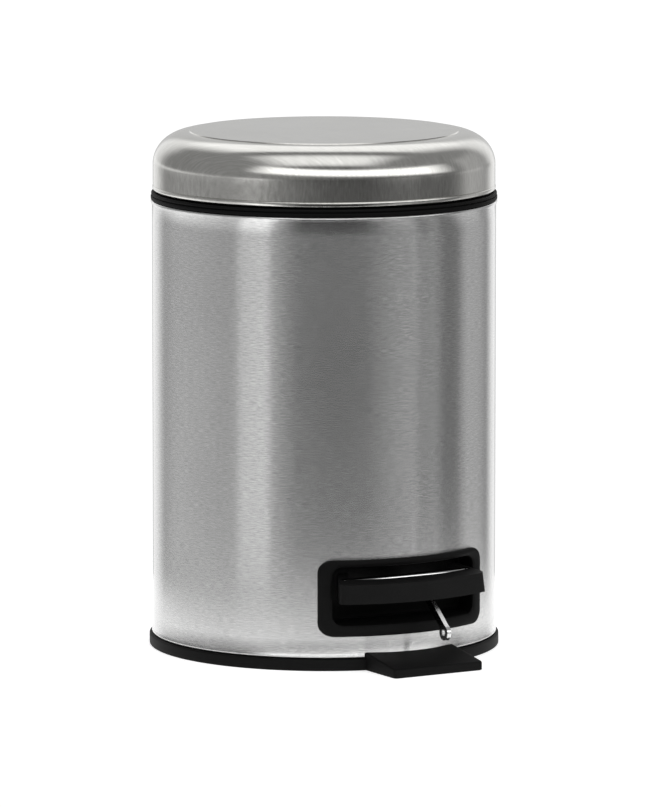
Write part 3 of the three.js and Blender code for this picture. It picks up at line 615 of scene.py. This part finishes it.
def base_and_tongue():
    outer = base_high.x
    profile = rounded([
        (0, 0), (26, 0), (27, 1.2), (72, 1.2), (73, 0), (outer, 0), (outer, RING_TOP),
        (SPIGOT_RADIUS, RING_TOP), (SPIGOT_RADIUS, SPIGOT_TOP), (SPIGOT_INSIDE, SPIGOT_TOP),
        (SPIGOT_INSIDE, FLOOR_TOP), (0, FLOOR_TOP),
    ], 0.7)
    front = base_low.y
    slope = (TONGUE_ROOT - TONGUE_EDGE) / (-86 - front)

    def tongue_top(y):
        return TONGUE_EDGE + slope * (y - front)

    def loop(inset, height):
        half_width = TONGUE_HALF_WIDTH - inset
        outline = rounded_rectangle(-half_width, half_width, front + inset, -76, 1.6, 6)
        return [(x, y, height(y)) for x, y in outline]

    tongue = lofted([
        loop(0.4, lambda y: 0.0),
        loop(0.0, lambda y: 0.4),
        loop(0.0, lambda y: tongue_top(y) - 0.9),
        loop(0.12, lambda y: tongue_top(y) - 0.45),
        loop(0.45, lambda y: tongue_top(y) - 0.12),
        loop(0.9, tongue_top),
    ])
    tongue = combined(tongue, [drum(86, RING_TOP - 0.4, 30), drum(84, -1, 30)])
    ear = [(PIVOT[0] - 6, 2.4), (PIVOT[0] + 6, 2.4)] + arc(PIVOT, EAR_RADIUS, 0, 180, 16)
    ears = [prism_x(ear, middle - EAR_SHEET / 2, middle + EAR_SHEET / 2) for middle in (-EAR_X, EAR_X)]
    mesh = combined(turned(profile), [tongue, *ears], "UNION")
    mesh = combined(mesh, [
        round_bar((-20, *PIVOT), (20, *PIVOT), AXLE_HOLE),
        block((-6, 76, RING_TOP), (9, 83.6, 20)),
    ])
    piece("base_moulding", mesh, "bin", BLACK, ["base_tray"], 30)


def collar():
    foot = collar_low.z
    profile = rounded([
        (SPIGOT_RADIUS, foot), (SPIGOT_RADIUS, 222.1), (85.6, 222.1), (85.6, 223.75), (84.7, 223.95),
        (84.7, 224.2), (85.4, 224.4), (85.4, 225.3), (85.0, collar_high.z), (81.6, collar_high.z),
        (81.6, 221.5), (78.6, 221.5), (78.6, 219.5), (81.6, 218), (82, foot),
    ], 0.35, 3)
    mesh = combined(turned(profile), [
        block((-8, 70, 205), (8, 90, 230)),
        block((-15.2, 83.4, 205), (15.2, 90, 230)),
    ])
    piece("collar_moulding", mesh, "bin", BLACK, ["collar_ring"], 35)


# ------------------------------------------------------------------ bezel round the pedal window

def bezel():
    def outline(half_width, bottom, top, corner):
        """A rounded rectangle with points along its sides, so that it can lie on the round shell."""
        across, up, turn = 40, 8, 8
        points = []
        inner = half_width - corner
        low, high = bottom + corner, top - corner
        points += [(half_width, low + (high - low) * k / up) for k in range(up)]
        points += arc((inner, high), corner, 0, 90, turn)[:-1]
        points += [(inner - 2 * inner * k / across, top) for k in range(across)]
        points += arc((-inner, high), corner, 90, 180, turn)[:-1]
        points += [(-half_width, high - (high - low) * k / up) for k in range(up)]
        points += arc((-inner, low), corner, 180, 270, turn)[:-1]
        points += [(-inner + 2 * inner * k / across, bottom) for k in range(across)]
        points += arc((inner, low), corner, 270, 360, turn)[:-1]
        return points

    def on_shell(radius, inset, corner):
        """Round the flange's outside, moved in by inset, at a distance from the bin's axis."""
        half_width, bottom, top = FLANGE
        loop = outline(half_width - inset, bottom + inset, top - inset, corner)
        return [(x, -math.sqrt(radius ** 2 - x ** 2), z) for x, z in loop]

    def recess(outset, corner):
        half_width, bottom, top = OPENING
        return outline(half_width + outset, bottom - outset, top + outset, corner)

    def window(radius, outset, corner):
        return [(x, -math.sqrt(radius ** 2 - x ** 2), z) for x, z in recess(outset, corner)]

    def flat(y, outset, corner):
        return [(x, y, z) for x, z in recess(outset, corner)]

    def slot(y):
        return [(x, y, z) for x, z in outline(*LEVER_SLOT, 1.2)]

    back = RECESS_BACK
    outside = -bezel_low.y
    mesh = lofted([
        on_shell(SHELL_RADIUS + 0.3, 0, 6.5), on_shell(outside - 0.75, 0, 6.5),
        on_shell(outside - 0.35, 0.1, 6.4), on_shell(outside - 0.1, 0.35, 6.15),
        on_shell(outside, 0.8, 5.7), on_shell(outside, 1.9, 5.0),
        window(outside - 0.35, 1.9, 6.2), window(outside - 0.55, 1.3, 5.7),
        window(outside - 1.0, 0.5, 5.0), window(outside - 2.0, 0.05, 4.5),
        flat(-75, 0, 4.5), flat(back - 0.6, 0, 4.5), flat(back, -0.6, 4.0),
        slot(back), slot(back + 1.5), flat(back + 1.5, 1.5, 6), window(SHELL_RADIUS + 0.3, 1.5, 6),
    ], closed=True)
    piece("bezel_moulding", mesh, "bin", BLACK, ["pedal_bezel"], 35)


# ------------------------------------------------------------------ inner bucket and its bail

def bucket():
    bottom, rim_bottom, rim_top = bucket_low.z, 221.8, bucket_high.z
    profile = rounded([
        (0, bottom), (BUCKET_FOOT, bottom), (BUCKET_TOP, rim_bottom), (BUCKET_RIM, rim_bottom),
        (BUCKET_RIM, rim_top), (BUCKET_TOP - BUCKET_WALL, rim_top),
        (BUCKET_FOOT - BUCKET_WALL, bottom + 1.6), (0, bottom + 1.6),
    ], 2.5, 6)
    mesh = combined(turned(profile, 192), [
        block((-10, BUCKET_TOP + 0.1, 220), (10, 90, 230)),
        round_bar((68, 0, BAIL_Z), (80, 0, BAIL_Z), 1.9),
        round_bar((-80, 0, BAIL_Z), (-68, 0, BAIL_Z), 1.9),
    ])
    piece("bucket_moulding", mesh, "bin", BUCKET_BLACK, ["inner_bucket"], 32)


def bail():
    radius, bend, end = BAIL_RADIUS, 2.2, 76.7
    half = [(end, 0.0), (radius + bend, 0.0)] + arc((radius + bend, -bend), bend, 90, 180, 8)[1:]
    loop = arc((0, 0), radius, -3, -177, 90)
    plan = half + loop + [(-x, y) for x, y in reversed(half)]
    mesh = wire([(x, y, BAIL_Z) for x, y in plan], BAIL_WIRE)
    heads = []
    for side in (-1, 1):
        head = rounded([(0, 75.8), (2.6, 75.8), (2.6, 77.0), (0, 77.0)], 0.5, 4)
        heads.append(turned_along_x([(r, side * x) for r, x in head], 0, BAIL_Z))
    mesh = combined(mesh, heads, "UNION")
    piece("bail_wire", mesh, "bucket_bail", ZINC_STEEL, ["bucket_handle"], 40)


# ------------------------------------------------------------------ pedal

def in_side_view(points):
    return [(0, y, z) for y, z in points]


def rivet_frame():
    """Where the rivet sits on the lever, with Z square to the strip."""
    _, bend, front = (Vector((0, *point)) for point in LEVER_LINE)
    across, along = RIVET
    seat = front.lerp(bend, (along - front.y) / (bend.y - front.y))
    tilt = math.atan2(bend.z - front.z, bend.y - front.y)
    return Matrix.Translation(Vector((across, seat.y, seat.z)) * MM) @ Matrix.Rotation(tilt, 4, "X")


def rivet_hole():
    mesh = drum(1.5, -6, 3, 32)
    mesh.transform(rivet_frame())
    return mesh


def lever():
    half_sheet = LEVER_SHEET / 2
    saddle = arc(CROSSBAR, CROSSBAR_RADIUS + 0.3 + half_sheet, -25, -175, 24)
    path = bent_path(in_side_view(LEVER_LINE), 20, 12) + [Vector((0, y, z)) for y, z in saddle]
    strip = prism_x(sheet_outline(path, LEVER_SHEET), -LEVER_HALF_WIDTH, LEVER_HALF_WIDTH)
    y, z = PIVOT
    ear = [(y - 9, z + 5.9)] + arc(PIVOT, EAR_RADIUS, 180, 360, 20) + [(y + 9, z + 4.2)]
    ear_x = LEVER_HALF_WIDTH - half_sheet
    ears = [prism_x(ear, middle - half_sheet, middle + half_sheet) for middle in (-ear_x, ear_x)]
    tab = prism_x(rounded_rectangle(66, 83.75, 7.25, 13.6, 2.7), -1, 1)
    mesh = combined(strip, [*ears, tab], "UNION")
    mesh = combined(mesh, [
        round_bar((-20, *PIVOT), (20, *PIVOT), AXLE_HOLE),
        round_bar((-5, *HOOK), (5, *HOOK), 1.67),
        rivet_hole(),
    ])
    piece("lever_strip", mesh, "pedal", LEVER_STEEL, ["pedal_lever"], 30, 0.2)


def crossbar():
    radius, half = CROSSBAR_RADIUS, crossbar_high.x
    left_end = arc((0, radius - half), radius, -80, 0, 8)
    right_end = arc((0, half - radius), radius, 0, 80, 8)
    profile = [(0, -half), *left_end, *right_end, (0, half)]
    mesh = turned_along_x(profile, *CROSSBAR)
    piece("crossbar_rod", mesh, "pedal", LEVER_STEEL, ["pedal_crossbar"], 50)


def stop_strip():
    bar_left = LEG_RIGHT - LEG_BAR
    foot_line = bent_path(in_side_view(LEG_FOOT_LINE), 2.5, 8)
    bar_line = bent_path(in_side_view(LEG_BAR_LINE), 4, 10)
    foot = prism_x(sheet_outline(foot_line, LEVER_SHEET), LEG_LEFT, LEG_RIGHT - LEG_BAR / 2)
    strut = prism_x(sheet_outline(bar_line, LEG_DEPTH), bar_left, LEG_RIGHT)
    ring = round_bar((bar_left, *LEG_EYE), (LEG_RIGHT, *LEG_EYE), LEG_EYE_RADIUS, 64)
    mesh = combined(strut, [foot, ring], "UNION")
    eye_hole = round_bar((0, *LEG_EYE), (20, *LEG_EYE), LEG_EYE_HOLE, 40)
    mesh = combined(mesh, [rivet_hole(), eye_hole])
    piece("stop_leg_bar", mesh, "pedal", BAR_STEEL, ["stop_leg"], 30, 0.22, 3)


def arch():
    angle = math.radians(ARCH_HALF_ANGLE)
    front_height = 39.0   # where the front is at its nominal radius

    def plan(inset, end, z=front_height):
        reach = ARCH_OUTSIDE - inset + ARCH_RAKE * (front_height - z)
        corner = max(ARCH_CORNER - inset, 1.0)
        middle = reach - corner
        turn = angle - math.asin((inset + corner) / middle)
        centre = (middle * math.sin(turn), -middle * math.cos(turn))
        sine, cosine = math.sin(angle), math.cos(angle)
        start = (end * sine - inset * cosine, -end * cosine - inset * sine)
        degrees = math.degrees(turn)
        right = [start] + arc(centre, corner, math.degrees(angle), degrees - 90, 14)
        front = arc((0, 0), reach, degrees - 90, -90, 24)[1:]
        half = right + front
        return half + [(-x, y) for x, y in reversed(half[:-1])]

    def slab(thinner, drop=0.0):
        """The space between the arch's level underside and its top, which falls like a cone."""
        near, far, bottom = 60.0, 110.0, ARCH_UNDERSIDE
        top = [CROSSBAR[1] + ARCH_FALL * (95.5 - radius) - thinner for radius in (near, far)]
        return turned([(near, bottom - drop), (far, bottom - drop), (far, top[1]), (near, top[0])])

    band = lofted([[(x, y, z) for x, y in plan(0, ARCH_END_RADIUS, z)] for z in (25, 55)])
    band = combined(band, [slab(0)], "INTERSECT")
    middle = combined(prism_z(plan(5.4, 60), 10, 70), [drum(ARCH_INSIDE, 5, 75)], "INTERSECT")
    hollow = combined(prism_z(plan(ARCH_WALL, 60), 10, 60), [slab(ARCH_WALL, 9)], "INTERSECT")
    hollow = combined(hollow, [block((-60, CROSSBAR[0] - 2.5, 5), (60, -40, 70))])
    sockets = [round_bar((side * 28, *CROSSBAR), (side * 36.3, *CROSSBAR), 2.0) for side in (-1, 1)]
    mesh = combined(band, [middle, hollow, *sockets])
    piece("arch_moulding", mesh, "pedal", PEDAL_BLACK, ["pedal_arch"], 30, 0.6, 3)


# ------------------------------------------------------------------ push rod

def push_rod():
    y, bottom = HOOK
    top = rod_high.z - ROD_WIRE
    corners = [(-4, y, bottom), (3.6, y, bottom), (3.6, y, top), (-4, y, top)]
    mesh = wire(bent_path(corners, 1.8), ROD_WIRE)
    piece("push_rod_wire", mesh, "rod", ZINC_STEEL, ["push_rod"], 40)


# ------------------------------------------------------------------ lid

def lid():
    rim, skirt_top, disc, crown = LID_RIM, LID_SKIRT_TOP, LID_DISC, LID_CROWN
    top, bottom = lid_high.z, lid_low.z

    def outline(inset):
        points = []
        for k in range(13):
            radius = disc * k / 12
            points.append((radius, top - inset - crown * (radius / disc) ** 2))
        points.append((disc + 0.45, top - inset - crown - LID_CREASE))
        shoulder = disc + 0.9
        start = top - crown - LID_CREASE
        for k in range(1, 29):
            angle = math.radians(3.2 * k)
            across = (rim - inset - shoulder) * math.sin(angle)
            points.append((shoulder + across, skirt_top + (start - inset - skirt_top) * math.cos(angle)))
        points += [(rim - inset, skirt_top - 3), (rim - inset, 229.4)]
        return points

    hem = arc((rim - 1.9, 228.1), 2.1, 18, -72, 8)
    outside = outline(0) + [(rim - 0.25, 229.1)] + hem
    inside = [(rim - 1.9, bottom + 0.75), (rim - 0.9, 227.6)] + outline(SHEET)[::-1]
    mesh = turned(outside + inside)
    piece("lid_dome", mesh, "lid", LID_STEEL, ["lid_shell"], 24)


def liner():
    bottom, top, inner = liner_low.z, liner_high.z, LINER_INSIDE
    profile = rounded([
        (inner, bottom), (83.5, bottom), (83.5, top), (82, top), (82, bottom + 2.4),
        (inner + 1.6, bottom + 2.4), (inner + 1.6, bottom + 5), (inner, bottom + 5),
    ], 0.6, 3)
    holes = [round_bar((x, 77.6, 220), (x, 77.6, 240), 1.55) for x in (-LINER_SCREW_X, LINER_SCREW_X)]
    for side in (-1, 1):
        x = side * BUMPER_RADIUS * math.sin(math.radians(BUMPER_ANGLE))
        y = -BUMPER_RADIUS * math.cos(math.radians(BUMPER_ANGLE))
        holes.append(round_bar((x, y, 220), (x, y, 240), 1.6))
    mesh = combined(turned(profile), holes)
    piece("liner_moulding", mesh, "lid", BLACK, ["lid_liner"], 35)


# ------------------------------------------------------------------ every piece

steel_shell()
base_and_tongue()
collar()
bezel()
bucket()
bail()
lever()
crossbar()
stop_strip()
arch()
push_rod()
lid()
liner()

refined("pedal_axle", "bin", ZINC_STEEL, 0.3)
refined("axle_clip_left", "bin", ZINC_STEEL, 0.15)
refined("axle_clip_right", "bin", ZINC_STEEL, 0.15)
refined("rod_guide", "bin", BLACK, 0.4)
refined("hinge_bracket", "bin", BLACK, 0.5, 3)
refined("hinge_pin", "bin", ZINC_STEEL, 0.3)
refined("leg_rivet", "pedal", ZINC_STEEL, 0.15)
refined("hinge_arm", "lid", BLACK, 0.4)
for side in ("left", "right"):
    refined("bracket_screw_" + side, "bin", ZINC_STEEL, 0.25)
    refined("bracket_nut_" + side, "bin", ZINC_STEEL, 0.25)
    refined("arm_screw_" + side, "lid", ZINC_STEEL, 0.15)
    refined("lid_bumper_" + side, "lid", RUBBER, 0.2)


# ------------------------------------------------------------------ stage

AIM = Vector((-0.00065, 0.00038, 0.1195))
DISTANCE = 3.747
LENS = 337.2
ELEVATION = math.radians(7.95)
AZIMUTH = math.radians(-30.3)


def camera():
    level = math.cos(ELEVATION)
    direction = Vector((math.sin(AZIMUTH) * level, -math.cos(AZIMUTH) * level, math.sin(ELEVATION)))
    data = bpy.data.cameras.new("camera")
    data.lens = LENS
    data.clip_end = 50
    obj = bpy.data.objects.new("camera", data)
    bpy.context.collection.objects.link(obj)
    obj.location = AIM + direction * DISTANCE
    obj.rotation_euler = (-direction).to_track_quat("-Z", "Y").to_euler()
    bpy.context.scene.camera = obj


def seen(level):
    """What the steel must mirror to be seen at a display level of 0 to 255."""
    value = level / 255
    return ((value + 0.055) / 1.055) ** 2.4 / STEEL_REFLECTANCE


def bands(nodes, angle, stops, low):
    """A row of (angle, display level) stops as a ramp over the angles from low to 180."""
    turn = nodes.math("DIVIDE", nodes.math("SUBTRACT", angle, low), 180 - low)
    return nodes.ramp(turn, [((stop - low) / (180 - low), seen(level) / BRIGHTEST) for stop, level in stops])


# What stands round the bin, by angle from the camera's side, to the right positive, and the level it gives.
ROUND = [
    (-180, 160), (-170, 160), (-165, 225), (-158, 226), (-139, 210), (-120, 232), (-98, 212), (-70, 182),
    (-63, 190), (-58, 250), (-40, 250), (-35, 170), (-28, 125), (-18, 45), (10, 20), (28, 45), (50, 140),
    (65, 160), (68, 108), (77, 112), (79, 140), (85, 132), (87, 98), (100, 110), (108, 170), (130, 175),
    (135, 130), (147, 130), (152, 205), (160, 224), (170, 160), (180, 160),
]
# The same for what stands near the horizon, which the lid's upright edge mirrors.
HORIZON = [
    (-180, 165), (-170, 165), (-165, 215), (-150, 200), (-135, 118), (-50, 118), (-22, 108), (0, 86),
    (30, 72), (90, 76), (102, 100), (112, 150), (132, 145), (140, 130), (152, 205), (163, 218),
    (170, 165), (180, 165),
]
# And from the front over the top to the back, for what the dome mirrors.
OVER = [
    (0, 60), (40, 60), (50, 80), (58, 215), (66, 236), (88, 232), (95, 200), (102, 90), (112, 110),
    (118, 236), (150, 240), (158, 150), (180, 130),
]
BRIGHTEST = 2.0
STEEL_REFLECTANCE = 0.62


def studio():
    world = bpy.data.worlds.new("studio")
    bpy.context.scene.world = world
    world.use_nodes = True
    nodes = Nodes(world.node_tree)
    direction = nodes.add("ShaderNodeTexCoord").outputs["Generated"]

    def along(axis):
        node = nodes.add("ShaderNodeVectorMath", operation="DOT_PRODUCT")
        nodes.link(direction, node.inputs[0])
        node.inputs[1].default_value = axis
        return node.outputs["Value"]

    towards = along((math.sin(AZIMUTH), -math.cos(AZIMUTH), 0))
    right = along((math.cos(AZIMUTH), math.sin(AZIMUTH), 0))
    up = along((0, 0, 1))
    degrees = 180 / math.pi
    azimuth = nodes.math("MULTIPLY", nodes.math("ARCTAN2", right, towards), degrees)
    over = nodes.math("MULTIPLY", nodes.math("ARCTAN2", up, towards), degrees)
    elevation = nodes.math("MULTIPLY", nodes.math("ARCSINE", up), degrees)
    low = bands(nodes, azimuth, ROUND, -180)
    near = bands(nodes, azimuth, HORIZON, -180)
    # The horizon's ramp holds where the upright steel mirrors straight to the camera, and again higher up.
    level = nodes.math("DIVIDE", nodes.math("ABSOLUTE", nodes.math("ADD", elevation, 8)), 4)
    level = nodes.math("SUBTRACT", 1.7, level, clamp=True)
    above = nodes.math("DIVIDE", nodes.math("ADD", elevation, 2), 3, clamp=True)
    low = nodes.mix(nodes.math("MAXIMUM", level, above), low, near)
    high = bands(nodes, over, OVER, 0)
    aside = nodes.math("DIVIDE", nodes.math("SUBTRACT", nodes.math("ABSOLUTE", right), 0.3), 0.25, clamp=True)
    walls = seen(118) / BRIGHTEST
    high = nodes.mix(aside, high, (walls, walls, walls))
    rise = nodes.math("DIVIDE", nodes.math("SUBTRACT", elevation, 24), 8, clamp=True)
    room = nodes.mix(rise, low, high)
    # A long soft light in front that stands higher on the left than on the right.
    middle = nodes.math("SUBTRACT", 27, nodes.math("MULTIPLY", azimuth, 0.115))
    away = nodes.math("DIVIDE", nodes.math("ABSOLUTE", nodes.math("SUBTRACT", elevation, middle)), 10.5)
    strip = nodes.math("MULTIPLY", nodes.math("SUBTRACT", 1.25, away), 3, clamp=True)
    left_end = nodes.math("DIVIDE", nodes.math("ADD", azimuth, 58), 22, clamp=True)
    right_end = nodes.math("DIVIDE", nodes.math("SUBTRACT", 100, azimuth), 25, clamp=True)
    strip = nodes.math("MULTIPLY", strip, nodes.math("MULTIPLY", left_end, right_end))
    room = nodes.mix(strip, room, (1.0, 1.0, 1.0))
    lit = nodes.add("ShaderNodeBackground", Strength=BRIGHTEST)
    nodes.link(room, lit.inputs[0])
    white = nodes.add("ShaderNodeBackground", Color=(1, 1, 1, 1), Strength=1.05)
    light_path = nodes.add("ShaderNodeLightPath")
    mixed = nodes.add("ShaderNodeMixShader")
    nodes.link(light_path.outputs["Is Camera Ray"], mixed.inputs[0])
    nodes.link(lit.outputs[0], mixed.inputs[1])
    nodes.link(white.outputs[0], mixed.inputs[2])
    output = nodes.add("ShaderNodeOutputWorld")
    nodes.link(mixed.outputs[0], output.inputs[0])


def floor():
    material, nodes, shader = new_material("floor")
    shader.inputs["Roughness"].default_value = 1.0
    shader.inputs["Specular IOR Level"].default_value = 0.0
    position = object_position(nodes)
    speckle = nodes.noise(nodes.scaled(position, (30, 30, 30)), 1.0)
    nodes.link(nodes.ramp(speckle, [(0.3, 0.86), (0.7, 0.88)]), shader.inputs["Base Color"])
    shader.inputs["Emission Color"].default_value = (1, 1, 1, 1)
    shader.inputs["Emission Strength"].default_value = 0.6
    mesh = drum(230, -2, -0.02, 96)
    obj = to_object("floor", mesh)
    obj.data.materials.append(material)


bpy.context.scene.view_settings.view_transform = "Standard"
camera()
studio()
floor()
